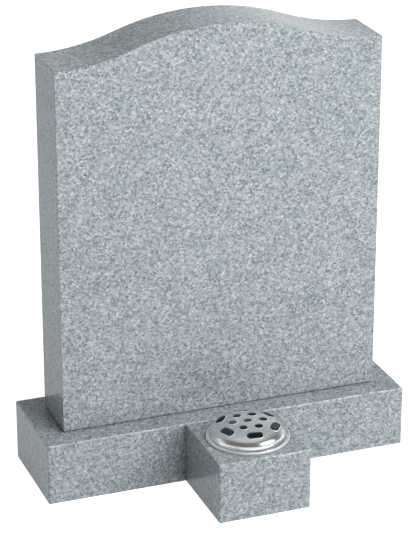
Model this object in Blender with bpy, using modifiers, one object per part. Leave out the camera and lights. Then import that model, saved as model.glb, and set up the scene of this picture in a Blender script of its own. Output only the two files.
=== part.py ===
"""Ogee headstone on a plinth, with a separate vase block that holds a flower container and its lid.

Metres, +Z up, the front faces -Y. The origin is the centre of the plinth's underside.
"""

import math

import bmesh
import bpy
from mathutils import Matrix, Vector

# Tablet: a rectangle under an ogee, which rises from the shoulders to the crown
TABLET_WIDTH = 0.5334
TABLET_THICKNESS = 0.1016
SHOULDER_HEIGHT = 0.594
OGEE_RISE = 0.047
CROWN_SPAN = 0.280
OGEE_STEPS = 14

# Plinth under the tablet: its height, and how far it shows on all four sides
PLINTH_HEIGHT = 0.1016
PLINTH_MARGIN = 0.0381

# Vase block against the plinth's front: the stone around the container's rim and under its bore
BLOCK_MARGIN = 0.0102
STONE_UNDER_BORE = 0.010
BORE_CLEARANCE = 0.0015
BORE_END_ROOM = 0.004

# Flower container, of spun sheet: a cup whose flange ends in a rolled rim
SHEET = 0.0012
BODY_RADIUS = 0.050
BODY_CORNER = 0.005
FLANGE_WIDTH = 0.016
RIM_WIDTH = 0.0024
RIM_ABOVE_LID = 0.002

# Domed lid, which lies loose on the flange inside the rolled rim
LID_CLEARANCE = 0.0004
LID_FLANGE = 0.0027
DOME_HEIGHT = 0.0253
DOME_FULLNESS = 2.8
DOME_STEPS = 11

# Holes for stems: one in the middle, a ring of round ones, and long ones on the dome's shoulder
HOLE_RADIUS = 0.0063
HOLE_COUNT = 6
HOLE_SIDES = 16
RING_TURN = math.radians(-7)
RING_SHARE = 0.575
SLOT_LENGTH = 0.0255
SLOT_WIDTH = 0.0125
SLOT_INSET = 0.016

# Dressing of the stones' edges, the fine gap between pieces, and how round turned pieces are
ARRIS = 0.002
ARRIS_SEGMENTS = 2
JOINT_GAP = 0.0003
TURNED_STEPS = 48
CORNER_STEPS = 4
CUT_MARGIN = 0.010
MERGE = 0.00001

# Places and sizes that follow from the ones above
PLINTH_WIDTH = TABLET_WIDTH + 2 * PLINTH_MARGIN
PLINTH_DEPTH = TABLET_THICKNESS + 2 * PLINTH_MARGIN
TABLET_FOOT = PLINTH_HEIGHT + JOINT_GAP
RIM_RADIUS = BODY_RADIUS + FLANGE_WIDTH
RIM_HEIGHT = SHEET + JOINT_GAP + SHEET + RIM_ABOVE_LID
BLOCK_SIDE = 2 * (RIM_RADIUS + BLOCK_MARGIN)
BLOCK_HEIGHT = PLINTH_HEIGHT
BLOCK_Y = -(PLINTH_DEPTH / 2 + JOINT_GAP + BLOCK_SIDE / 2)
BORE_RADIUS = BODY_RADIUS + BORE_CLEARANCE
CONTAINER_SEAT = BLOCK_HEIGHT + JOINT_GAP
BODY_DEPTH = CONTAINER_SEAT - STONE_UNDER_BORE - BORE_END_ROOM
LID_SEAT = CONTAINER_SEAT + SHEET + JOINT_GAP
LID_RADIUS = RIM_RADIUS - RIM_WIDTH - LID_CLEARANCE
DOME_RADIUS = LID_RADIUS - LID_FLANGE
SLOT_RADIUS = DOME_RADIUS - SLOT_INSET
RING_RADIUS = HOLE_RADIUS + RING_SHARE * (SLOT_RADIUS - SLOT_WIDTH / 2 - HOLE_RADIUS)


def clear_scene():
    for item in list(bpy.data.objects):
        bpy.data.objects.remove(item, do_unlink=True)


def new_collection(name):
    collection = bpy.data.collections.new(name)
    bpy.context.scene.collection.children.link(collection)
    return collection


def principled(name, color, roughness, metallic):
    material = bpy.data.materials.new(name)
    material.use_nodes = True
    shader = material.node_tree.nodes["Principled BSDF"]
    shader.inputs["Base Color"].default_value = (*color, 1.0)
    shader.inputs["Roughness"].default_value = roughness
    shader.inputs["Metallic"].default_value = metallic
    return material


def mesh_object(name, bm, collection, place):
    mesh = bpy.data.meshes.new(name)
    bm.to_mesh(mesh)
    bm.free()
    item = bpy.data.objects.new(name, mesh)
    item.location = place
    collection.objects.link(item)
    return item


def soften_arrises(item):
    bevel = item.modifiers.new("arris", "BEVEL")
    bevel.width = ARRIS
    bevel.segments = ARRIS_SEGMENTS
    bevel.limit_method = "ANGLE"
    bevel.angle_limit = math.radians(40)


def cut_with(item, cutter):
    cutter.hide_render = True
    cutter.display_type = "WIRE"
    cut = item.modifiers.new(cutter.name, "BOOLEAN")
    cut.operation = "DIFFERENCE"
    cut.solver = "EXACT"
    cut.object = cutter


def polar(radius, angle):
    return radius * math.cos(angle), radius * math.sin(angle)


def arc(centre, radius, start, end, steps):
    """Points of an arc, from the start angle to the end angle, both ends included."""
    offsets = [polar(radius, start + (end - start) * i / steps) for i in range(steps + 1)]
    return [(centre[0] + x, centre[1] + y) for x, y in offsets]


def ogee_outline():
    """The tablet's front outline: a crown arc that runs smoothly into two hollow shoulder arcs.

    The hollow arcs leave the top corners level, so the rise and the half width fix the arcs' turn.
    """
    half = TABLET_WIDTH / 2
    turn = 2 * math.atan2(OGEE_RISE, half)
    crown_radius = CROWN_SPAN / 2 / math.sin(turn)
    hollow_radius = (half - CROWN_SPAN / 2) / math.sin(turn)
    crown_z = SHOULDER_HEIGHT + OGEE_RISE - crown_radius
    hollow_z = SHOULDER_HEIGHT + hollow_radius
    up = math.pi / 2
    down = -math.pi / 2
    right = arc((half, hollow_z), hollow_radius, down, down - turn, OGEE_STEPS)
    crown = arc((0.0, crown_z), crown_radius, up - turn, up + turn, 2 * OGEE_STEPS)
    left = arc((-half, hollow_z), hollow_radius, down + turn, down, OGEE_STEPS)
    return [(-half, 0.0), (half, 0.0)] + right + crown[1:-1] + left


def flat_curve(name, outline, thickness, collection):
    """A closed outline filled on both sides, as thick as asked and centred on its own plane."""
    curve = bpy.data.curves.new(name, "CURVE")
    curve.dimensions = "2D"
    curve.fill_mode = "BOTH"
    curve.extrude = thickness / 2
    spline = curve.splines.new("POLY")
    spline.points.add(len(outline) - 1)
    for point, (x, y) in zip(spline.points, outline):
        point.co = (x, y, 0.0, 1.0)
    spline.use_cyclic_u = True
    item = bpy.data.objects.new(name, curve)
    collection.objects.link(item)
    return item


def turned(name, profile, place, collection):
    """A closed solid turned about Z from a profile of (radius, height) points, axis to axis."""
    bm = bmesh.new()
    points = [bm.verts.new((radius, 0.0, height)) for radius, height in profile]
    for first, second in zip(points, points[1:]):
        bm.edges.new((first, second))
    item = mesh_object(name, bm, collection, place)
    screw = item.modifiers.new("turn", "SCREW")
    screw.steps = TURNED_STEPS
    screw.render_steps = TURNED_STEPS
    screw.use_merge_vertices = True
    screw.merge_threshold = MERGE
    return item


def stone_box(name, size, centre, collection):
    bm = bmesh.new()
    bmesh.ops.create_cube(bm, size=1.0)
    bmesh.ops.scale(bm, vec=Vector(size), verts=bm.verts)
    item = mesh_object(name, bm, collection, centre)
    soften_arrises(item)
    return item


def make_tablet(parts, stone):
    tablet = flat_curve("headstone", ogee_outline(), TABLET_THICKNESS, parts)
    tablet.location = (0.0, 0.0, TABLET_FOOT)
    tablet.rotation_euler = (math.radians(90), 0.0, 0.0)
    weld = tablet.modifiers.new("close caps", "WELD")
    weld.merge_threshold = MERGE
    soften_arrises(tablet)
    tablet.data.materials.append(stone)


def make_plinth(parts, stone):
    size = (PLINTH_WIDTH, PLINTH_DEPTH, PLINTH_HEIGHT)
    plinth = stone_box("base", size, (0.0, 0.0, PLINTH_HEIGHT / 2), parts)
    plinth.data.materials.append(stone)


def make_vase_block(parts, cutters, stone):
    size = (BLOCK_SIDE, BLOCK_SIDE, BLOCK_HEIGHT)
    block = stone_box("vase_block", size, (0.0, BLOCK_Y, BLOCK_HEIGHT / 2), parts)
    depth = BLOCK_HEIGHT - STONE_UNDER_BORE + CUT_MARGIN
    bm = bmesh.new()
    bmesh.ops.create_cone(
        bm, cap_ends=True, segments=TURNED_STEPS, radius1=BORE_RADIUS, radius2=BORE_RADIUS, depth=depth
    )
    cut_with(block, mesh_object("bore", bm, cutters, (0.0, BLOCK_Y, STONE_UNDER_BORE + depth / 2)))
    block.data.materials.append(stone)


def container_profile():
    """Heights are above the seat: floor inside, up the wall, over the rolled rim and down outside."""
    down = -math.pi / 2
    inner = BODY_RADIUS - SHEET
    inner_corner = BODY_CORNER - SHEET
    corner = (BODY_RADIUS - BODY_CORNER, BODY_CORNER - BODY_DEPTH)
    roll = RIM_WIDTH / 2
    floor_inside = arc(corner, inner_corner, down, 0.0, CORNER_STEPS)
    floor_outside = arc(corner, BODY_CORNER, 0.0, down, CORNER_STEPS)
    rim = arc((RIM_RADIUS - roll, RIM_HEIGHT - roll), roll, math.pi, 0.0, 2 * CORNER_STEPS)
    foot = arc((RIM_RADIUS - SHEET, SHEET), SHEET, 0.0, down, CORNER_STEPS)
    inside = [(0.0, SHEET - BODY_DEPTH)] + floor_inside + [(inner, SHEET)]
    over = [(RIM_RADIUS - RIM_WIDTH, SHEET)] + rim + foot
    outside = [(BODY_RADIUS, 0.0)] + floor_outside + [(0.0, -BODY_DEPTH)]
    return inside + over + outside


def make_container(parts, metal):
    place = (0.0, BLOCK_Y, CONTAINER_SEAT)
    container = turned("flower_container", container_profile(), place, parts)
    container.data.materials.append(metal)


def dome_curve(radius, height, foot):
    """A full dome's section from its top down to its foot, a superellipse."""
    power = 2 / DOME_FULLNESS
    angles = [math.pi / 2 * (1 - i / DOME_STEPS) for i in range(1, DOME_STEPS)]
    flank = [(radius * math.cos(a) ** power, foot + height * math.sin(a) ** power) for a in angles]
    return [(0.0, foot + height)] + flank + [(radius, foot)]


def lid_profile():
    """Heights are above the lid's seat: the dome outside, the flange's edge, and the dome inside."""
    outside = dome_curve(DOME_RADIUS, DOME_HEIGHT, SHEET)
    flange = [(LID_RADIUS, SHEET), (LID_RADIUS, 0.0)]
    inside = dome_curve(DOME_RADIUS - SHEET, DOME_HEIGHT, 0.0)
    return outside + flange + inside[::-1]


def slot_outline():
    end = SLOT_WIDTH / 2
    reach = SLOT_LENGTH / 2 - end
    up = math.pi / 2
    right = arc((reach, 0.0), end, -up, up, HOLE_SIDES // 2)
    left = arc((-reach, 0.0), end, up, 3 * up, HOLE_SIDES // 2)
    return right + left


def add_prism(bm, outline, turn, centre, height):
    """An upright prism of the outline, turned about Z, with its foot on the plane of the seat."""
    place = Matrix.Translation((*centre, -CUT_MARGIN)) @ Matrix.Rotation(turn, 4, "Z")
    face = bm.faces.new([bm.verts.new(place @ Vector((x, y, 0.0))) for x, y in outline])
    grown = bmesh.ops.extrude_face_region(bm, geom=[face])
    top = [v for v in grown["geom"] if isinstance(v, bmesh.types.BMVert)]
    bmesh.ops.translate(bm, vec=(0.0, 0.0, height), verts=top)


def make_lid(parts, cutters, metal):
    place = (0.0, BLOCK_Y, LID_SEAT)
    lid = turned("container_lid", lid_profile(), place, parts)
    round_hole = arc((0.0, 0.0), HOLE_RADIUS, 0.0, 2 * math.pi, HOLE_SIDES)[:-1]
    height = SHEET + DOME_HEIGHT + 2 * CUT_MARGIN
    bm = bmesh.new()
    add_prism(bm, round_hole, 0.0, (0.0, 0.0), height)
    for i in range(HOLE_COUNT):
        angle = RING_TURN + 2 * math.pi * i / HOLE_COUNT
        between = angle + math.pi / HOLE_COUNT
        add_prism(bm, round_hole, angle, polar(RING_RADIUS, angle), height)
        add_prism(bm, slot_outline(), between + math.pi / 2, polar(SLOT_RADIUS, between), height)
    bmesh.ops.recalc_face_normals(bm, faces=bm.faces)
    cut_with(lid, mesh_object("stem_holes", bm, cutters, place))
    lid.data.materials.append(metal)


def main():
    clear_scene()
    parts = new_collection("ogee_headstone")
    cutters = new_collection("cutters")
    make_tablet(parts, principled("tablet_granite", (0.42, 0.46, 0.47), 0.22, 0.0))
    make_plinth(parts, principled("plinth_granite", (0.38, 0.42, 0.43), 0.22, 0.0))
    make_vase_block(parts, cutters, principled("block_granite", (0.38, 0.42, 0.45), 0.22, 0.0))
    make_container(parts, principled("spun_aluminium", (0.78, 0.79, 0.80), 0.28, 1.0))
    make_lid(parts, cutters, principled("polished_aluminium", (0.84, 0.85, 0.86), 0.16, 1.0))


main()
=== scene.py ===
"""Ogee headstone: polished granite tablet, plinth and vase block, with an aluminium flower container and lid.

Laid out as an add-on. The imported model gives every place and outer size; the finish is made here.
"""
import math

import bmesh
import bpy
from bpy.props import FloatProperty, FloatVectorProperty, IntProperty, PointerProperty
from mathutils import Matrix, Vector
from mathutils.geometry import delaunay_2d_cdt


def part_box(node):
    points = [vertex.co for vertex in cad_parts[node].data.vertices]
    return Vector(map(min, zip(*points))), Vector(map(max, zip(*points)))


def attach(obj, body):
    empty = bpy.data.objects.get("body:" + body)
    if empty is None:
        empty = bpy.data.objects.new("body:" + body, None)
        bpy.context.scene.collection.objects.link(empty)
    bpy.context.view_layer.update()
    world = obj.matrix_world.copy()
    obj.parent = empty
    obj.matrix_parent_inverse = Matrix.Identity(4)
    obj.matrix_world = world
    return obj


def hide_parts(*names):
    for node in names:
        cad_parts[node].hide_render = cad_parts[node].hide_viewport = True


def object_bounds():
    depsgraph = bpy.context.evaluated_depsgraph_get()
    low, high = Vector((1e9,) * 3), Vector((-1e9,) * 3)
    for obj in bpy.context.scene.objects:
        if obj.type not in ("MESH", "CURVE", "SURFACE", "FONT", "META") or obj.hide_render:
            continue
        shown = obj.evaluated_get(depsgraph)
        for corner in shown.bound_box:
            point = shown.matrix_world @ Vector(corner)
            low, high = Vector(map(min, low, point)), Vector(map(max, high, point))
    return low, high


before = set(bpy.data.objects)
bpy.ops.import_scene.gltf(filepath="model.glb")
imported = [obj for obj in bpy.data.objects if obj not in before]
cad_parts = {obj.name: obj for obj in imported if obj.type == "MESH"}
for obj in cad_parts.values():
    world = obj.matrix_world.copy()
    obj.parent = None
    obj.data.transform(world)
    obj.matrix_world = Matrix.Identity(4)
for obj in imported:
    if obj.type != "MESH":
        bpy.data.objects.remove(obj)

bl_info = {
    "name": "Ogee Headstone",
    "version": (1, 0, 0),
    "blender": (4, 5, 0),
    "location": "View3D > Sidebar > Headstone",
    "description": "Builds a polished granite headstone with an ogee top, a plinth and a flower container",
    "category": "Add Mesh",
}

BODY = "root"
CAD_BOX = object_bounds()

TABLET_LOW, TABLET_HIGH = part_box("headstone")
PLINTH_LOW, PLINTH_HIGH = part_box("base")
BLOCK_LOW, BLOCK_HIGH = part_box("vase_block")
CUP_LOW, CUP_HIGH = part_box("flower_container")
LID_LOW, LID_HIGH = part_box("container_lid")
LID_CENTRE = Vector(((LID_LOW.x + LID_HIGH.x) / 2, (LID_LOW.y + LID_HIGH.y) / 2, LID_LOW.z))
RIM_RADIUS = (CUP_HIGH.x - CUP_LOW.x) / 2
LID_RADIUS = (LID_HIGH.x - LID_LOW.x) / 2

# Edges and turned shapes
TOUCHING = 0.00001  # points this close become one
DRESSED = 2  # material place of the dressed edges until their stone is finished
# Only dressed faces that face upward get the whiter arris finish: partly bruised stone, partly a painted
# highlight where light catches the edges
UPWARD_FOR_HIGHLIGHT = 0.1  # least upward share of a dressed face that keeps a finish of its own
STONE_SHARP = math.radians(35)  # steeper folds stay sharp
METAL_SHARP = math.radians(50)
ARRIS_ANGLE = math.radians(40)  # steeper folds are dressed
ARRIS_SEGMENTS = 3
BORE_SIDES = 96
BEND_STEPS = 6
CORNER_STEPS = 8
RIM_STEPS = 12

# The lid's holes and dome
ROUND_HOLE_POINTS = 48
LONG_HOLE_POINTS = 72
SLOT_END_POINTS = 12
NEARLY_HALF = 0.499  # round end of a long hole, as a share of its width
LIP_STEPS = 8
LIP_REACH = 1.05  # a plate face's middle is at least this many lip widths from a hole
PLATE_SPACING = 0.0016  # between the plate's points
PLATE_CLEARANCE = 0.4 * PLATE_SPACING  # between those points and the lips
PLATE_MARGIN = 0.0005  # between the long holes' lips and the plate's edge
PLATE_TOLERANCE = 0.0000001
DOME_FILLET = 0.0009  # radius where the dome meets the flange
SKIRT_ROWS = 16
MATT_SHARE = 0.7  # share of the flange that is matt
RUBBED = 1  # material place of the lips
# The underside and the cut edges are dull, and painted dark as the shade in the holes
DULL_SHADED = 2  # material place of the underside and the cut edges

# Granite
WARP_SHARE = 0.7  # how far the crystals' outlines wander, in grains
FINE_SHARE = 0.37  # how much of the colour comes from the fine crystals
CLOUDS_PER_METRE = 26.0
CLOUD_DEPTH = 0.18  # how much lighter and darker the clouds make the stone
BRUISES_PER_METRE = 110.0
BRUISE_LEVEL = 0.48  # noise above this is a bruise
# Whitish patches on the dressed edges: partly bruised stone, and because only upward edges get them, partly a
# painted highlight
BRUISE_AND_HIGHLIGHT_COLOUR = (0.9, 0.92, 0.92)
CRYSTAL_POLISH = 0.05  # how much the roughness varies from crystal to crystal
CRYSTAL_RELIEF = 0.0002
GRANITE_IOR = 1.55

# Aluminium
LINES_PER_METRE = 2600.0
LINE_POLISH = 0.06  # how much the roughness varies with the turning lines
MARKS_PER_METRE = 90.0
MARK_POLISH = 0.10  # how much the roughness varies with the handling marks
MARK_LEVEL = 0.62  # noise above this is a mark
MARK_STRENGTH = 0.10
MARK_TONE = 0.85
DULL_ROUGHNESS = 0.3  # added where the metal is dull
DULL_OXIDE = 0.25  # share of oxide where the metal is dull

# Stage
WHITE = (1.0, 1.0, 1.0)
FLOOR_HALF = 20.0  # half the floor's side
FADE_LEVEL = 0.2  # share of the backdrop straight to the sides
FADE_STEEPNESS = 2.0  # how fast it grows towards the back
LIGHTS = {
    "softbox": {"toward": (0.61, -0.71, 0.34), "distance": 6.0, "size": (4.0, 2.5), "mirrored": True},
    "key": {"toward": (0.68, -0.64, 0.40), "distance": 7.5, "size": (5.0, 2.5), "mirrored": False},
    "fill": {"toward": (0.34, -0.66, 0.68), "distance": 3.5, "size": (3.0, 2.0), "mirrored": False},
}


def length(name, default, description):
    return FloatProperty(
        name=name, description=description, default=default, min=0.0, unit="LENGTH", precision=5
    )


def angle(name, default, description):
    return FloatProperty(name=name, description=description, default=default, subtype="ANGLE")


def share(name, default, description):
    return FloatProperty(name=name, description=description, default=default, min=0.0, max=1.0)


def colour(name, default, description):
    return FloatVectorProperty(
        name=name, description=description, default=default, size=3, min=0.0, max=1.0, subtype="COLOR"
    )


def power(name, default, description):
    return FloatProperty(name=name, description=description, default=default, min=0.0, unit="POWER")


def count(name, default, description):
    return IntProperty(name=name, description=description, default=default, min=3)


class HEADSTONE_PG_stone(bpy.types.PropertyGroup):
    ogee_rise: length("Ogee rise", 0.047, "Height of the crown above the shoulders")
    crown_span: length("Crown span", 0.280, "Distance between the two points where the ogee turns over")
    columns: count("Columns", 129, "Points across the ogee")
    arris: length("Arris", 0.0022, "Width of the dressed edges of the plinth and the vase block")
    fine_arris: length("Fine arris", 0.0008, "Width of the dressed edges of the tablet")
    foot_arris: length("Foot arris", 0.0022, "Width of the dressed edge round the tablet's foot")
    bore_radius: length("Bore radius", 0.0515, "Radius of the hole for the container")
    bore_floor: length("Bore floor", 0.010, "Stone left under the hole")


class HEADSTONE_PG_granite(bpy.types.PropertyGroup):
    grain: length("Grain", 0.0031, "Size of the feldspar and quartz crystals")
    fleck: length("Fleck", 0.0016, "Size of the fine crystals between them")
    mica: colour("Mica", (0.074, 0.098, 0.111), "Darkest crystals")
    quartz: colour("Quartz", (0.158, 0.194, 0.211), "Grey crystals")
    feldspar: colour("Feldspar", (0.265, 0.296, 0.309), "Light crystals")
    white: colour("White feldspar", (0.412, 0.436, 0.438), "Lightest crystals")
    roughness: share("Roughness", 0.17, "Roughness of the polished face")
    arris_roughness: share("Arris roughness", 0.38, "Roughness of the dressed edges")
    # The whiter dressed edges are partly bruised stone and partly a painted highlight, since only
    # upward-facing edges get them
    arris_bloom_and_highlight: share("Arris bloom", 0.15, "How much whiter the bruised patches of the dressed edges are")


class HEADSTONE_PG_metal(bpy.types.PropertyGroup):
    sheet: length("Sheet", 0.0012, "Thickness of the aluminium")
    joint_gap: length("Gap", 0.0003, "Gap between the lid and the flange it lies on")
    body_radius: length("Body radius", 0.050, "Outer radius of the cup")
    body_corner: length("Body corner", 0.005, "Outer radius of the cup's bottom edge")
    rim_width: length("Rim width", 0.0024, "Width of the rolled rim")
    lid_flange: length("Lid flange", 0.0027, "Width of the lid's flat edge")
    fullness: FloatProperty(
        name="Fullness", description="Power of the dome's superellipse", default=3.05, min=1.0, max=8.0
    )
    steps: count("Steps", 144, "Sides of the turned pieces")
    tint: colour("Aluminium", (0.905, 0.913, 0.920), "Colour of the polished metal")
    # The inside colour is painted shade: it darkens the cup's inside, the lid's underside and the cut edges
    # of the holes
    inside_painted_shade: colour("Inside", (0.16, 0.185, 0.205), "Colour of the dull metal in the cup and the lid")


class HEADSTONE_PG_holes(bpy.types.PropertyGroup):
    hole_radius: length("Hole radius", 0.0068, "Radius of the round stem holes")
    hole_count: count("Hole count", 6, "Round holes in the ring, and long holes outside it")
    ring_radius: length("Ring radius", 0.02467, "Radius of the ring of round holes")
    ring_turn: angle("Turn", math.radians(-7), "Turn of the pattern of holes")
    slot_radius: length("Slot radius", 0.0445, "Distance of the long holes from the middle")
    slot_length: length("Slot length", 0.0262, "Length of the long holes")
    slot_width: length("Slot width", 0.0132, "Width of the long holes")
    lip_width: length("Lip width", 0.0008, "How far each hole's raised edge reaches")
    lip_height: length("Lip height", 0.0006, "How far each hole's edge is raised")


class HEADSTONE_PG_stage(bpy.types.PropertyGroup):
    lens: FloatProperty(name="Lens", description="Focal length", default=153.3, min=20.0, unit="CAMERA")
    camera_place: FloatVectorProperty(
        name="Camera place", description="Where the camera stands", default=(-1.2018, -3.1737, 1.7260),
        size=3, subtype="TRANSLATION",
    )
    pitch: angle("Pitch", 0.39248, "How far the camera looks down")
    turn: angle("Turn", 0.36104, "How far the camera is turned to the right")
    floor_tint: colour("Floor", (0.42, 0.42, 0.42), "Colour of the floor")
    floor_glow: colour("Floor glow", (0.455, 0.480, 0.505), "Light that the floor gives off")
    key_light: power("Key light", 197.0, "Wide soft light on the right, without a mirror image")
    box_light: power("Soft box", 115.0, "Soft box on the right, the one light with a mirror image")
    fill_light: power("Fill light", 148.0, "Wide soft light high in front, without a mirror image")
    room_dark: colour("Dark room", (0.15, 0.134, 0.122), "The room behind the camera")
    room_light: colour("Light room", (0.38, 0.39, 0.40), "The backdrop's middle, and high behind the camera")
    overhead: colour("Upper backdrop", (0.30, 0.31, 0.32), "The darker upper part of the backdrop")
    ceiling: colour("Ceiling", (0.56, 0.57, 0.58), "The room overhead")
    backdrop: colour("Backdrop", (0.95, 0.96, 0.97), "The white backdrop behind the stone")


class Wire:
    """A node's output that can stand in a Python expression; each operation adds its Math node."""

    def __init__(self, graph, socket):
        self.graph = graph
        self.socket = socket

    def math(self, operation, first, second=0.0):
        return self.graph.add("ShaderNodeMath", {"operation": operation}, {0: first, 1: second})

    def __add__(self, other):
        return self.math("ADD", self, other)

    def __radd__(self, other):
        return self.math("ADD", other, self)

    def __sub__(self, other):
        return self.math("SUBTRACT", self, other)

    def __rsub__(self, other):
        return self.math("SUBTRACT", other, self)

    def __mul__(self, other):
        return self.math("MULTIPLY", self, other)

    def __rmul__(self, other):
        return self.math("MULTIPLY", other, self)

    def __truediv__(self, other):
        return self.math("DIVIDE", self, other)

    def __rtruediv__(self, other):
        return self.math("DIVIDE", other, self)

    def __abs__(self):
        return self.math("ABSOLUTE", self)

    def __lt__(self, other):
        return self.math("LESS_THAN", self, other)

    def __gt__(self, other):
        return self.math("GREATER_THAN", self, other)

    def root(self):
        return self.math("SQRT", self)

    def sine(self):
        return self.math("SINE", self)

    def cosine(self):
        return self.math("COSINE", self)

    def either(self, other):
        """The larger of two values, which is 1 where one mask or the other is."""
        return self.math("MAXIMUM", self, other)


class Graph:
    """A node tree being written."""

    def __init__(self, tree):
        self.tree = tree

    def plug(self, socket, value):
        if isinstance(value, Wire):
            self.tree.links.new(value.socket, socket)
        else:
            socket.default_value = value

    def add(self, kind, settings=None, inputs=None, output=0):
        node = self.tree.nodes.new(kind)
        for name, value in (settings or {}).items():
            if name == "stops":
                self.set_stops(node.color_ramp, value)
            else:
                setattr(node, name, value)
        for name, value in (inputs or {}).items():
            self.plug(node.inputs[name], value)
        return Wire(self, node.outputs[output])

    def other(self, wire, output):
        """Another output of the node that a wire comes from."""
        return Wire(self, wire.socket.node.outputs[output])

    def set_stops(self, ramp, stops):
        while len(ramp.elements) < len(stops):
            ramp.elements.new(0.5)
        for element, (place, tone) in zip(ramp.elements, stops):
            element.position = place
            element.color = (*tone, 1.0)

    def mix(self, factor, first, second, blend="MIX"):
        return self.add(
            "ShaderNodeMix", {"data_type": "RGBA", "blend_type": blend}, {0: factor, 6: first, 7: second}, 2
        )


def new_material(name):
    """A material with its Principled shader, and the graph to write its nodes in."""
    material = bpy.data.materials.new(name)
    material.use_nodes = True
    graph = Graph(material.node_tree)
    return material, graph, material.node_tree.nodes["Principled BSDF"]


def rgba(tone):
    return (*tone, 1.0)


def noise(graph, place, scale, detail, output=0):
    sockets = {"Vector": place, "Scale": scale, "Detail": detail}
    return graph.add("ShaderNodeTexNoise", inputs=sockets, output=output)


def crystals(graph, place, size):
    """A number from 0 to 1 for each crystal, the same all through it."""
    cell = graph.add("ShaderNodeTexVoronoi", inputs={"Vector": place, "Scale": 1 / size}, output="Color")
    return graph.add("ShaderNodeSeparateColor", inputs={0: cell})


def granite(context, name, roughness, bloom_and_highlight):
    """Speckled granite: coarse and fine crystals of four kinds, cut through in three dimensions."""
    found = bpy.data.materials.get(name)
    if found:
        return found
    look = context.scene.headstone_granite
    material, graph, shader = new_material(name)
    place = graph.add("ShaderNodeTexCoord", output="Object")
    warp = noise(graph, place, 1 / look.grain, 1.0, "Color")
    centred = graph.add("ShaderNodeVectorMath", {"operation": "SUBTRACT"}, {0: warp, 1: (0.5, 0.5, 0.5)})
    reach = look.grain * WARP_SHARE
    shift = graph.add("ShaderNodeVectorMath", {"operation": "SCALE"}, {0: centred, "Scale": reach})
    bent = graph.add("ShaderNodeVectorMath", {"operation": "ADD"}, {0: place, 1: shift})
    kind = crystals(graph, bent, look.grain)
    fine_kind = crystals(graph, bent, look.fleck)
    stops = [
        (0.0, look.mica), (0.12, look.mica), (0.20, look.quartz), (0.44, look.quartz),
        (0.54, look.feldspar), (0.84, look.feldspar), (0.94, look.white), (1.0, look.white),
    ]
    coarse = graph.add("ShaderNodeValToRGB", {"stops": stops}, {0: kind})
    fine = graph.add("ShaderNodeValToRGB", {"stops": stops}, {0: fine_kind})
    both = graph.mix(FINE_SHARE, coarse, fine)
    cloud = noise(graph, place, CLOUDS_PER_METRE, 3.0)
    tone = (1 - CLOUD_DEPTH / 2) + cloud * CLOUD_DEPTH
    shade = graph.add("ShaderNodeCombineColor", inputs={0: tone, 1: tone, 2: tone})
    body = graph.mix(1.0, both, shade, "MULTIPLY")
    # Whitish patches: bruised stone, which on the upward dressed edges is also a painted highlight
    bruise_and_highlight = noise(graph, place, BRUISES_PER_METRE, 2.0) > BRUISE_LEVEL
    graph.plug(shader.inputs["Base Color"], graph.mix(bruise_and_highlight * bloom_and_highlight, body, rgba(BRUISE_AND_HIGHLIGHT_COLOUR)))
    graph.plug(shader.inputs["Roughness"], roughness + (0.5 - fine_kind) * CRYSTAL_POLISH)
    bump = {"Strength": 0.12, "Distance": CRYSTAL_RELIEF, "Height": fine_kind}
    graph.plug(shader.inputs["Normal"], graph.add("ShaderNodeBump", inputs=bump))
    shader.inputs["IOR"].default_value = GRANITE_IOR
    return material


def face_granite(context):
    return granite(context, "polished_granite", context.scene.headstone_granite.roughness, 0.0)


def arris_granite(context):
    look = context.scene.headstone_granite
    return granite(context, "dressed_arris_and_highlight", look.arris_roughness, look.arris_bloom_and_highlight)


def aluminium(context, name, roughness, line_depth, inside_radius, matt_radius):
    """Spun aluminium: turning lines, faint handling marks, and duller inside one radius and past another;
    inside that radius it is also painted dark, as shade.
    """
    found = bpy.data.materials.get(name)
    if found:
        return found
    look = context.scene.headstone_metal
    material, graph, shader = new_material(name)
    place = graph.add("ShaderNodeTexCoord", output="Object")
    centred = graph.add("ShaderNodeMapping", inputs={"Vector": place, "Location": tuple(-LID_CENTRE)})
    x = graph.add("ShaderNodeSeparateXYZ", inputs={0: centred})
    y = graph.other(x, "Y")
    z = graph.other(x, "Z")
    radius = (x * x + y * y).root()
    along = graph.add("ShaderNodeCombineXYZ", inputs={0: radius * LINES_PER_METRE, 1: z * LINES_PER_METRE})
    lines = noise(graph, along, 1.0, 2.0)
    marks = noise(graph, place, MARKS_PER_METRE, 4.0)
    polish = roughness + (lines - 0.5) * LINE_POLISH + (marks - 0.5) * MARK_POLISH
    inside = radius < inside_radius
    matt = radius > matt_radius
    dull = inside.either(matt)
    graph.plug(shader.inputs["Roughness"], polish + dull * DULL_ROUGHNESS)
    graph.plug(shader.inputs["Metallic"], 1.0 - dull * DULL_OXIDE)
    marked = rgba([MARK_TONE * part for part in look.tint])
    outside = graph.mix((marks > MARK_LEVEL) * MARK_STRENGTH, rgba(look.tint), marked)
    # Painted shade: inside the radius the metal takes the dark inside colour
    graph.plug(shader.inputs["Base Color"], graph.mix(inside, outside, rgba(look.inside_painted_shade)))
    bump = {"Strength": 0.25, "Distance": line_depth, "Height": lines}
    graph.plug(shader.inputs["Normal"], graph.add("ShaderNodeBump", inputs=bump))
    return material


def finished_mesh(item):
    """An object's mesh as its modifiers leave it; the object itself is removed."""
    context = bpy.context
    context.view_layer.update()
    made = bpy.data.meshes.new_from_object(item.evaluated_get(context.evaluated_depsgraph_get()))
    made.transform(item.matrix_world)
    bpy.data.objects.remove(item)
    return made


def finish_piece(name, item, node):
    """Turns an object into a plain mesh at the origin, and lets it stand for its CAD node."""
    piece = bpy.data.objects.new(name, finished_mesh(item))
    piece.data.name = name
    bpy.context.scene.collection.objects.link(piece)
    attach(piece, BODY)
    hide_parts(node)
    return piece


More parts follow.
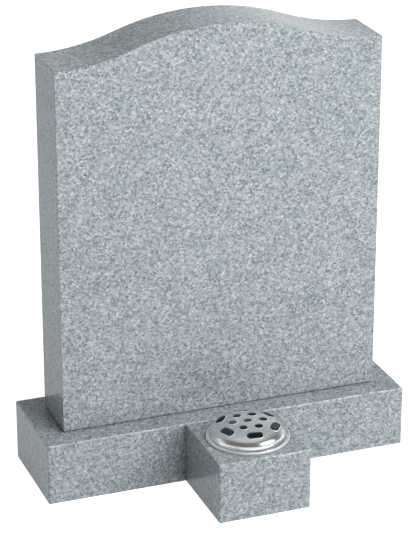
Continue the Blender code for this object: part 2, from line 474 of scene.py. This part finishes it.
def finish_metal(name, item, node):
    """Finishes a metal piece: smooth between its sharp edges, and left out of bounced light."""
    piece = finish_piece(name, item, node)
    piece.visible_diffuse = False
    piece.data.shade_smooth()
    piece.data.set_sharp_from_angle(angle=METAL_SHARP)
    return piece


def finish_stone(name, item, node, edge_material):
    """Finishes a stone: polished granite on its faces, and another material on its upper dressed edges."""
    piece = finish_piece(name, item, node)
    bm = bmesh.new()
    bm.from_mesh(piece.data)
    for edge in bm.edges:
        kinds = {face.material_index == DRESSED for face in edge.link_faces}
        edge.smooth = len(kinds) == 1 and edge.calc_face_angle(math.pi) < STONE_SHARP
    for face in bm.faces:
        face.smooth = True
        # Only upward dressed faces get the whiter arris material, which is partly a painted highlight;
        # downward and upright edges stay plain polished granite
        face.material_index = int(face.material_index == DRESSED and face.normal.z > UPWARD_FOR_HIGHLIGHT)
    piece.data.materials.clear()
    piece.data.materials.append(face_granite(bpy.context))
    piece.data.materials.append(edge_material)
    bm.to_mesh(piece.data)
    bm.free()
    return piece


def plain_object(name, bm):
    """An object made from an edited mesh, which is freed."""
    mesh = bpy.data.meshes.new(name)
    bm.to_mesh(mesh)
    bm.free()
    item = bpy.data.objects.new(name, mesh)
    bpy.context.scene.collection.objects.link(item)
    return item


def dress_edges(item, width):
    """Rounds the sharp edges; the new faces get the last material place, which finish_stone looks for."""
    while len(item.data.materials) <= DRESSED:
        item.data.materials.append(None)
    bevel = item.modifiers.new("Arris", "BEVEL")
    bevel.width = width
    bevel.segments = ARRIS_SEGMENTS
    bevel.limit_method = "ANGLE"
    bevel.angle_limit = ARRIS_ANGLE
    bevel.material = DRESSED


def arc(centre, radius, start, end, steps):
    """Points along a round stretch of an outline, from one angle to another."""
    angles = [start + (end - start) * i / steps for i in range(steps + 1)]
    return [(centre[0] + radius * math.cos(a), centre[1] + radius * math.sin(a)) for a in angles]


def new_geometry_tree(name, sizes, number):
    """Starts a geometry tree: gives its graph, and the wires and identifiers of its named inputs."""
    tree = bpy.data.node_groups.new(name, "GeometryNodeTree")
    tree.interface.new_socket("Geometry", in_out="OUTPUT", socket_type="NodeSocketGeometry")
    names = {}
    for label in (*sizes, number):
        kind = "NodeSocketInt" if label == number else "NodeSocketFloat"
        names[label] = tree.interface.new_socket(label, in_out="INPUT", socket_type=kind).identifier
    graph = Graph(tree)
    entry = tree.nodes.new("NodeGroupInput")
    wires = {label: Wire(graph, entry.outputs[label]) for label in names}
    return graph, wires, names


def end_geometry_tree(graph, geometry, material):
    """Ends a geometry tree in real geometry with its material."""
    real = graph.add("GeometryNodeRealizeInstances", inputs={"Geometry": geometry})
    painted = graph.add("GeometryNodeSetMaterial", inputs={"Geometry": real, "Material": material})
    end = graph.tree.nodes.new("NodeGroupOutput")
    graph.plug(end.inputs["Geometry"], painted)


def grow(name, graph, names, values):
    """An object whose mesh a geometry tree makes from the values given to its inputs."""
    item = bpy.data.objects.new(name, bpy.data.meshes.new(name))
    modifier = item.modifiers.new(graph.tree.name, "NODES")
    modifier.node_group = graph.tree
    for label, value in values.items():
        modifier[names[label]] = value
    bpy.context.scene.collection.objects.link(item)
    return item


def ogee_slab_tree(material):
    """A slab whose top follows the ogee and whose foot has a cut edge all round."""
    sizes = (
        "Width", "Thickness", "Foot", "Foot arris", "Shoulder", "Rise", "Crown span", "Crown radius",
        "Hollow radius",
    )
    graph, given, names = new_geometry_tree("Ogee slab", sizes, "Columns")
    # A box one metre high about its middle, with rows of points at its foot, middle and top
    size = graph.add("ShaderNodeCombineXYZ", inputs={0: given["Width"], 1: given["Thickness"], 2: 1.0})
    box = graph.add(
        "GeometryNodeMeshCube",
        inputs={"Size": size, "Vertices X": given["Columns"], "Vertices Y": 2, "Vertices Z": 3},
    )
    x = graph.add("ShaderNodeSeparateXYZ", inputs={0: graph.add("GeometryNodeInputPosition")})
    y = graph.other(x, "Y")
    z = graph.other(x, "Z")
    between_rows = 0.25
    top = z > between_rows
    foot = z < -between_rows
    out = abs(x)
    in_crown = out < given["Crown span"] * 0.5
    crown_radius = given["Crown radius"]
    hollow_radius = given["Hollow radius"]
    from_end = given["Width"] * 0.5 - out
    crown = given["Rise"] - crown_radius + (crown_radius * crown_radius - out * out).root()
    hollow = hollow_radius - (hollow_radius * hollow_radius - from_end * from_end).root()
    curve = given["Shoulder"] + crown * in_crown + hollow * (1.0 - in_crown)
    edge = given["Foot arris"]
    spot = graph.add("ShaderNodeCombineXYZ", inputs={
        0: x * (1.0 - foot * edge / given["Width"] * 2.0),
        1: y * (1.0 - foot * edge / given["Thickness"] * 2.0),
        2: given["Foot"] + (curve - given["Foot"]) * top + edge * (1.0 - top - foot),
    })
    slab = graph.add("GeometryNodeSetPosition", inputs={"Geometry": box, "Position": spot})
    end_geometry_tree(graph, slab, material)
    return graph, names


class HEADSTONE_OT_tablet(bpy.types.Operator):
    """Make the ogee-topped tablet"""

    bl_idname = "headstone.tablet"
    bl_label = "Tablet"

    def execute(self, context):
        stone = context.scene.headstone_stone
        graph, names = ogee_slab_tree(face_granite(context))
        width = TABLET_HIGH.x - TABLET_LOW.x
        turn = 2 * math.atan2(stone.ogee_rise, width / 2)
        item = grow("ogee_slab", graph, names, {
            "Width": width,
            "Thickness": TABLET_HIGH.y - TABLET_LOW.y,
            "Foot": TABLET_LOW.z,
            "Foot arris": stone.foot_arris,
            "Shoulder": TABLET_HIGH.z - stone.ogee_rise,
            "Rise": stone.ogee_rise,
            "Crown span": stone.crown_span,
            "Crown radius": stone.crown_span / 2 / math.sin(turn),
            "Hollow radius": (width - stone.crown_span) / 2 / math.sin(turn),
            "Columns": stone.columns,
        })
        dress_edges(item, stone.fine_arris)
        finish_stone("tablet", item, "headstone", face_granite(context))
        return {"FINISHED"}


def squared_block(context, name, low, high):
    """A rectangular polished stone with dressed edges, ready for finish_stone."""
    bm = bmesh.new()
    bmesh.ops.create_cube(bm, size=1.0)
    bmesh.ops.scale(bm, vec=high - low, verts=bm.verts)
    bmesh.ops.translate(bm, vec=(low + high) / 2, verts=bm.verts)
    item = plain_object(name, bm)
    item.data.materials.append(face_granite(context))
    dress_edges(item, context.scene.headstone_stone.arris)
    return item


class HEADSTONE_OT_blocks(bpy.types.Operator):
    """Make the plinth, and the vase block with its bore"""

    bl_idname = "headstone.blocks"
    bl_label = "Plinth and vase block"

    def execute(self, context):
        stone = context.scene.headstone_stone
        plinth = squared_block(context, "squared_plinth", PLINTH_LOW, PLINTH_HIGH)
        finish_stone("plinth", plinth, "base", arris_granite(context))
        block = squared_block(context, "squared_block", BLOCK_LOW, BLOCK_HIGH)
        bm = bmesh.new()
        bmesh.ops.create_cone(
            bm, cap_ends=True, segments=BORE_SIDES, radius1=stone.bore_radius, radius2=stone.bore_radius,
            depth=2 * (BLOCK_HIGH.z - stone.bore_floor),
        )
        bmesh.ops.translate(bm, vec=(LID_CENTRE.x, LID_CENTRE.y, BLOCK_HIGH.z), verts=bm.verts)
        bore = plain_object("bore", bm)
        cut = block.modifiers.new("Bore", "BOOLEAN")
        cut.object = bore
        finish_stone("vase_stone", block, "vase_block", arris_granite(context))
        bpy.data.objects.remove(bore)
        return {"FINISHED"}


def polar(radius, bearing):
    return Vector((math.cos(bearing), math.sin(bearing))) * radius


def circle_point(radius, step, steps):
    return polar(radius, 2 * math.pi * step / steps)


def turned_mesh(name, profile, centre, steps):
    """A closed piece turned about an upright axis: its profile goes from the axis, up, out, down and back."""
    bm = bmesh.new()
    rings = []
    for radius, height in profile:
        sides = steps if radius > 0 else 1
        rings.append([bm.verts.new((*circle_point(radius, i, sides), height)) for i in range(sides)])
    for ring, following in zip(rings, rings[1:]):
        for i in range(steps):
            here = (ring[(i + 1) % len(ring)], ring[i % len(ring)])
            there = (following[i % len(following)], following[(i + 1) % len(following)])
            bm.faces.new(dict.fromkeys(here + there))
    bmesh.ops.translate(bm, vec=centre, verts=bm.verts)
    return plain_object(name, bm)


class HEADSTONE_OT_container(bpy.types.Operator):
    """Make the spun flower container"""

    bl_idname = "headstone.container"
    bl_label = "Flower container"

    def execute(self, context):
        metal = context.scene.headstone_metal
        sheet = metal.sheet
        seat = LID_LOW.z - metal.joint_gap - sheet
        depth = seat - CUP_LOW.z
        height = CUP_HIGH.z - seat
        roll = metal.rim_width / 2
        down = -math.pi / 2
        corner = (metal.body_radius - metal.body_corner, metal.body_corner - depth)
        inside = arc(corner, metal.body_corner - sheet, down, 0.0, CORNER_STEPS)
        mouth = arc((metal.body_radius + sheet, -sheet), 2 * sheet, math.pi, math.pi / 2, BEND_STEPS)
        rim = arc((RIM_RADIUS - roll, height - roll), roll, math.pi, 0.0, RIM_STEPS)
        foot = arc((RIM_RADIUS - sheet, sheet), sheet, 0.0, down, BEND_STEPS)
        outside = arc(corner, metal.body_corner, 0.0, down, CORNER_STEPS)
        profile = (
            [(0.0, sheet - depth)] + inside + mouth + [(RIM_RADIUS - metal.rim_width, sheet)]
            + rim + foot + [(metal.body_radius, 0.0)] + outside + [(0.0, -depth)]
        )
        cup = turned_mesh("spun_cup", profile, (LID_CENTRE.x, LID_CENTRE.y, seat), metal.steps)
        # Inside the lid's flange the cup is painted dark, as the shade within it
        cup.data.materials.append(aluminium(
            context, "spun_aluminium", roughness=0.28, line_depth=0.00004,
            inside_radius=LID_RADIUS - metal.lid_flange, matt_radius=LID_RADIUS,
        ))
        finish_metal("container", cup, "flower_container")
        return {"FINISHED"}


def hole_places(holes):
    """Centre, turn and straight half length of every stem hole, in the lid's own plane."""
    places = [(Vector((0.0, 0.0)), 0.0, 0.0)]
    reach = (holes.slot_length - holes.slot_width) / 2
    for i in range(holes.hole_count):
        bearing = holes.ring_turn + 2 * math.pi * i / holes.hole_count
        between = bearing + math.pi / holes.hole_count
        places.append((polar(holes.ring_radius, bearing), bearing, 0.0))
        places.append((polar(holes.slot_radius, between), between + math.pi / 2, reach))
    return places


def sorted_ring(bm, steps):
    """The points of a mesh's outermost ring, in order round it."""
    reach = max(v.co.xy.length for v in bm.verts)
    ring = [v for v in bm.verts if v.co.xy.length > reach - TOUCHING]
    if len(ring) != steps:
        raise RuntimeError("the lid's plate has no clean outer ring")
    return sorted(ring, key=lambda v: round(math.atan2(v.co.y, v.co.x) / (2 * math.pi) * steps) % steps)


def edge_distance(holes, places, point):
    """How far a point of the lid's plane is outside the nearest hole's edge."""
    nearest = math.inf
    for centre, turn, reach in places:
        offset = point - centre
        along = offset.x * math.cos(turn) + offset.y * math.sin(turn)
        across = offset.y * math.cos(turn) - offset.x * math.sin(turn)
        radius = holes.slot_width / 2 if reach else holes.hole_radius
        nearest = min(nearest, math.hypot(max(abs(along) - reach, 0.0), across) - radius)
    return nearest


def raised_edges_tree(material):
    """The raised edges of the stem holes: a lip swept round each outline, the outlines set out in rings."""
    sizes = (
        "Hole radius", "Ring radius", "Ring turn", "Slot radius", "Slot length", "Slot width", "Lip width",
        "Lip height",
    )
    graph, given, names = new_geometry_tree("Raised stem holes", sizes, "Count")
    round_hole = graph.add(
        "GeometryNodeCurvePrimitiveCircle",
        inputs={"Resolution": ROUND_HOLE_POINTS, "Radius": given["Hole radius"]},
    )
    box = graph.add(
        "GeometryNodeCurvePrimitiveQuadrilateral",
        inputs={"Width": given["Slot length"], "Height": given["Slot width"]},
    )
    filleted = graph.add(
        "GeometryNodeFilletCurve", {"mode": "POLY"},
        {"Curve": box, "Count": SLOT_END_POINTS, "Radius": given["Slot width"] * NEARLY_HALF},
    )
    long_hole = graph.add("GeometryNodeResampleCurve", inputs={"Curve": filleted, "Count": LONG_HOLE_POINTS})
    index = graph.add("GeometryNodeInputIndex")
    outlines = [round_hole]
    for hole, radius, offset, tilt in (
        (round_hole, given["Ring radius"], 0.0, 0.0),
        (long_hole, given["Slot radius"], 0.5, math.pi / 2),
    ):
        spots = graph.add("GeometryNodePoints", inputs={"Count": given["Count"]})
        bearing = given["Ring turn"] + (index + offset) / given["Count"] * (2 * math.pi)
        place = graph.add("ShaderNodeCombineXYZ", inputs={
            0: radius * bearing.cosine(), 1: radius * bearing.sine()
        })
        placed = graph.add("GeometryNodeSetPosition", inputs={"Geometry": spots, "Position": place})
        turn = graph.add("ShaderNodeCombineXYZ", inputs={2: bearing + tilt})
        outlines.append(graph.add(
            "GeometryNodeInstanceOnPoints", inputs={"Points": placed, "Instance": hole, "Rotation": turn}
        ))
    joined = graph.tree.nodes.new("GeometryNodeJoinGeometry")
    for outline in outlines:
        graph.tree.links.new(outline.socket, joined.inputs[0])
    real = graph.add("GeometryNodeRealizeInstances", inputs={"Geometry": Wire(graph, joined.outputs[0])})
    line = graph.add("GeometryNodeCurvePrimitiveLine")
    even = graph.add("GeometryNodeResampleCurve", inputs={"Curve": line, "Count": LIP_STEPS + 1})
    inwards = index / float(LIP_STEPS)
    wave = (inwards * (0.5 * math.pi)).sine()
    spot = graph.add("ShaderNodeCombineXYZ", inputs={
        0: (1.0 - inwards) * given["Lip width"], 1: wave * wave * given["Lip height"] * -1.0
    })
    section = graph.add("GeometryNodeSetPosition", inputs={"Geometry": even, "Position": spot})
    swept = graph.add("GeometryNodeCurveToMesh", inputs={"Curve": real, "Profile Curve": section})
    end_geometry_tree(graph, swept, material)
    return graph, names


def dome_height(metal, rise, radius):
    """Height of the dome's outside above the lid's flange, at a distance from its axis."""
    foot = LID_RADIUS - metal.lid_flange
    return rise * max(1 - (radius / foot) ** metal.fullness, 0.0) ** (1 / metal.fullness)


def dome_normal(metal, rise, radius, height):
    """Which way the dome's outside faces, as an outward and an upward share."""
    foot = LID_RADIUS - metal.lid_flange
    slope = metal.fullness - 1
    outward = radius ** slope / foot ** metal.fullness
    upward = height ** slope / rise ** metal.fullness
    return Vector((outward, upward)).normalized()


class HEADSTONE_OT_lid(bpy.types.Operator):
    """Make the pressed lid with its stem holes"""

    bl_idname = "headstone.lid"
    bl_label = "Container lid"

    def execute(self, context):
        metal = context.scene.headstone_metal
        holes = context.scene.headstone_holes
        polished = aluminium(
            context, "polished_aluminium", roughness=0.25, line_depth=0.00002,
            inside_radius=0.0, matt_radius=LID_RADIUS - metal.lid_flange * MATT_SHARE,
        )
        rubbed = aluminium(
            context, "rubbed_aluminium", roughness=0.10, line_depth=0.00002,
            inside_radius=0.0, matt_radius=0.0,
        )
        # Dull metal for the underside and the cut edges, painted dark all over as shade
        dull = aluminium(
            context, "dull_aluminium_painted_shade", roughness=0.26, line_depth=0.00002,
            inside_radius=1.0, matt_radius=1.0,
        )
        graph, names = raised_edges_tree(polished)
        item = grow("raised_edges", graph, names, {
            "Hole radius": holes.hole_radius,
            "Ring radius": holes.ring_radius,
            "Ring turn": holes.ring_turn,
            "Slot radius": holes.slot_radius,
            "Slot length": holes.slot_length,
            "Slot width": holes.slot_width,
            "Lip width": holes.lip_width,
            "Lip height": holes.lip_height,
            "Count": holes.hole_count,
        })
        bm = bmesh.new()
        bm.from_mesh(finished_mesh(item))
        bmesh.ops.remove_doubles(bm, verts=bm.verts, dist=TOUCHING)
        for face in bm.faces:
            face.material_index = RUBBED
        self.rise = LID_HIGH.z - LID_LOW.z - metal.sheet
        corner = math.hypot(holes.slot_radius, (holes.slot_length - holes.slot_width) / 2)
        self.plate_radius = corner + holes.slot_width / 2 + holes.lip_width + PLATE_MARGIN
        self.fill_plate(bm, metal, holes)
        under = self.raise_plate(bm, metal)
        self.add_skirt(bm, metal, under)
        self.close_sheet(bm, under)
        bmesh.ops.translate(bm, vec=LID_CENTRE + Vector((0.0, 0.0, metal.sheet)), verts=bm.verts)
        lid = plain_object("pressed_lid", bm)
        for material in (polished, rubbed, dull):
            lid.data.materials.append(material)
        piece = finish_metal("lid", lid, "container_lid")
        piece.visible_glossy = False
        return {"FINISHED"}

    def fill_plate(self, bm, metal, holes):
        """Fills the plane between the raised edges with an even net of points."""
        places = hole_places(holes)
        outer = [
            v for v in bm.verts
            if v.is_boundary and edge_distance(holes, places, v.co.xy) > holes.lip_width / 2
        ]
        index = {v: i for i, v in enumerate(outer)}
        points = [v.co.xy for v in outer]
        edges = [
            (index[e.verts[0]], index[e.verts[1]]) for e in bm.edges
            if e.is_boundary and e.verts[0] in index and e.verts[1] in index
        ]
        first = len(points)
        steps = metal.steps
        points += [circle_point(self.plate_radius, i, steps) for i in range(steps)]
        edges += [(first + i, first + (i + 1) % steps) for i in range(steps)]
        rings = int(self.plate_radius / PLATE_SPACING)
        for ring in range(1, rings):
            for i in range(6 * ring):
                spot = circle_point(self.plate_radius * ring / rings, i + ring / 2, 6 * ring)
                if edge_distance(holes, places, spot) > holes.lip_width + PLATE_CLEARANCE:
                    points.append(spot)
        verts, _, faces, origins, _, _ = delaunay_2d_cdt(points, edges, [], 0, PLATE_TOLERANCE)
        made = [outer[origin[0]] if origin and origin[0] < first else None for origin in origins]
        made = [vert or bm.verts.new((*spot, 0.0)) for vert, spot in zip(made, verts)]
        for face in faces:
            middle = sum((verts[i] for i in face), Vector((0.0, 0.0))) / len(face)
            if edge_distance(holes, places, middle) > holes.lip_width * LIP_REACH:
                bm.faces.new([made[i] for i in face])
        bmesh.ops.recalc_face_normals(bm, faces=bm.faces)
        if sum(face.normal.z for face in bm.faces) < 0:
            bmesh.ops.reverse_faces(bm, faces=bm.faces)

    def raise_plate(self, bm, metal):
        """Lifts the plate onto the dome, and gives for each of its points the one under it."""
        under = {}
        for vert in list(bm.verts):
            flat = vert.co.xy
            radius = flat.length
            height = dome_height(metal, self.rise, radius)
            out, up = dome_normal(metal, self.rise, radius, height) * metal.sheet
            inner = flat * (1 - out / radius) if radius > 0 else flat
            vert.co.z += height
            under[vert] = Vector((*inner, height - up))
        return under

    def add_skirt(self, bm, metal, under):
        """Carries the dome down from the plate's edge to its foot, and out into the flat flange."""
        foot = LID_RADIUS - metal.lid_flange
        top = dome_height(metal, self.rise, self.plate_radius)
        profile = []
        for i in range(SKIRT_ROWS + 1):
            height = top + (DOME_FILLET - top) * i / SKIRT_ROWS
            radius = foot * (1 - (height / self.rise) ** metal.fullness) ** (1 / metal.fullness)
            profile.append((Vector((radius, height)), dome_normal(metal, self.rise, radius, height)))
        middle = Vector((foot + DOME_FILLET, DOME_FILLET))
        for spot in arc(middle, DOME_FILLET, math.pi, 1.5 * math.pi, BEND_STEPS)[1:]:
            profile.append((Vector(spot), (middle - Vector(spot)).normalized()))
        profile.append((Vector((LID_RADIUS, 0.0)), Vector((0.0, 1.0))))
        steps = metal.steps
        rings = [sorted_ring(bm, steps)]
        for spot, normal in profile[1:]:
            ring = []
            for i in range(steps):
                vert = bm.verts.new((*circle_point(spot.x, i, steps), spot.y))
                inner = spot - normal * metal.sheet
                under[vert] = Vector((*circle_point(inner.x, i, steps), inner.y))
                ring.append(vert)
            rings.append(ring)
        for inner, outer in zip(rings, rings[1:]):
            for i in range(steps):
                j = (i + 1) % steps
                bm.faces.new((inner[i], outer[i], outer[j], inner[j]))

    def close_sheet(self, bm, under):
        """Adds the underside and the cut edges."""
        upper = list(bm.faces)
        edges = [edge for edge in bm.edges if edge.is_boundary]
        lower = {vert: bm.verts.new(place) for vert, place in under.items()}
        walls = [(e.link_loops[0].vert, e.link_loops[0].link_loop_next.vert) for e in edges]
        for face in upper:
            bm.faces.new([lower[v] for v in reversed(face.verts)]).material_index = DULL_SHADED
        for first, second in walls:
            bm.faces.new((second, first, lower[first], lower[second])).material_index = DULL_SHADED


class HEADSTONE_OT_stage(bpy.types.Operator):
    """Make the floor, the lights and the camera"""

    bl_idname = "headstone.stage"
    bl_label = "Stage"

    def execute(self, context):
        look = context.scene.headstone_stage
        self.add_floor(look)
        aim = (CAD_BOX[0] + CAD_BOX[1]) / 2
        self.add_light("softbox", aim, look.box_light)
        self.add_light("key", aim, look.key_light)
        self.add_light("fill", aim, look.fill_light)
        self.add_room(context, look)
        self.add_camera(context, look)
        context.scene.view_settings.view_transform = "Standard"
        return {"FINISHED"}

    def add_floor(self, look):
        """Adds the floor, which is plain white to the camera and gives off a softer light."""
        bm = bmesh.new()
        bmesh.ops.create_grid(bm, x_segments=1, y_segments=1, size=FLOOR_HALF)
        floor = plain_object("floor", bm)
        material, graph, shader = new_material("pale_floor")
        shader.inputs["Base Color"].default_value = rgba(look.floor_tint)
        shader.inputs["Roughness"].default_value = 0.9
        seen = graph.add("ShaderNodeLightPath", output="Is Camera Ray")
        glow = graph.mix(seen, rgba(look.floor_glow), rgba(WHITE))
        graph.plug(shader.inputs["Emission Color"], glow)
        shader.inputs["Emission Strength"].default_value = 1.0
        floor.data.materials.append(material)

    def add_room(self, context, look):
        """Adds the studio: a dim room in front, a backdrop behind, and plain white to the camera."""
        world = bpy.data.worlds.new("studio")
        world.use_nodes = True
        room = Graph(world.node_tree)
        x = room.add("ShaderNodeSeparateXYZ", inputs={0: room.add("ShaderNodeTexCoord", output="Generated")})
        y = room.other(x, "Y")
        z = room.other(x, "Z")
        near = room.add("ShaderNodeValToRGB", {"stops": [
            (0.0, look.room_dark), (0.72, look.room_dark), (0.84, look.room_light), (0.94, look.ceiling)
        ]}, {0: z})
        far = room.add("ShaderNodeValToRGB", {"stops": [
            (0.0, look.backdrop), (0.12, look.backdrop), (0.40, look.room_light), (0.60, look.overhead),
            (0.90, look.ceiling)
        ]}, {0: z})
        behind = room.add("ShaderNodeClamp", inputs={0: FADE_LEVEL + y * FADE_STEEPNESS})
        studio = room.mix(behind, near, far)
        seen = room.add("ShaderNodeLightPath", output="Is Camera Ray")
        air = room.mix(seen, studio, rgba(WHITE))
        room.plug(world.node_tree.nodes["Background"].inputs["Color"], air)
        context.scene.world = world

    def add_camera(self, context, look):
        data = bpy.data.cameras.new("camera")
        data.lens = look.lens
        camera = bpy.data.objects.new("camera", data)
        camera.location = look.camera_place
        camera.rotation_euler = (math.pi / 2 - look.pitch, 0.0, -look.turn)
        context.scene.collection.objects.link(camera)
        context.scene.camera = camera

    def add_light(self, name, aim, watts):
        """Adds a rectangular light that faces the stone."""
        kind = LIGHTS[name]
        data = bpy.data.lights.new(name, "AREA")
        data.shape = "RECTANGLE"
        data.size, data.size_y = kind["size"]
        data.energy = watts
        light = bpy.data.objects.new(name, data)
        light.location = aim + Vector(kind["toward"]) * kind["distance"]
        light.rotation_euler = (aim - light.location).to_track_quat("-Z", "Y").to_euler()
        light.visible_glossy = kind["mirrored"]
        bpy.context.scene.collection.objects.link(light)


OPERATORS = (
    HEADSTONE_OT_tablet,
    HEADSTONE_OT_blocks,
    HEADSTONE_OT_container,
    HEADSTONE_OT_lid,
    HEADSTONE_OT_stage,
)
GROUPS = {
    "headstone_stone": HEADSTONE_PG_stone,
    "headstone_granite": HEADSTONE_PG_granite,
    "headstone_metal": HEADSTONE_PG_metal,
    "headstone_holes": HEADSTONE_PG_holes,
    "headstone_stage": HEADSTONE_PG_stage,
}


class HEADSTONE_PT_panel(bpy.types.Panel):
    bl_idname = "HEADSTONE_PT_panel"
    bl_label = "Ogee Headstone"
    bl_space_type = "VIEW_3D"
    bl_region_type = "UI"
    bl_category = "Headstone"

    def draw(self, context):
        for operator in OPERATORS:
            self.layout.operator(operator.bl_idname)
        for name, group in GROUPS.items():
            box = self.layout.box()
            settings = getattr(context.scene, name)
            for key in group.__annotations__:
                box.prop(settings, key)


def register():
    for item in (*GROUPS.values(), *OPERATORS, HEADSTONE_PT_panel):
        bpy.utils.register_class(item)
    for name, group in GROUPS.items():
        setattr(bpy.types.Scene, name, PointerProperty(type=group))


def unregister():
    for name in GROUPS:
        delattr(bpy.types.Scene, name)
    for item in reversed((*GROUPS.values(), *OPERATORS, HEADSTONE_PT_panel)):
        bpy.utils.unregister_class(item)


def main():
    register()
    bpy.ops.headstone.tablet()
    bpy.ops.headstone.blocks()
    bpy.ops.headstone.container()
    bpy.ops.headstone.lid()
    bpy.ops.headstone.stage()


if __name__ == "__main__":
    main()
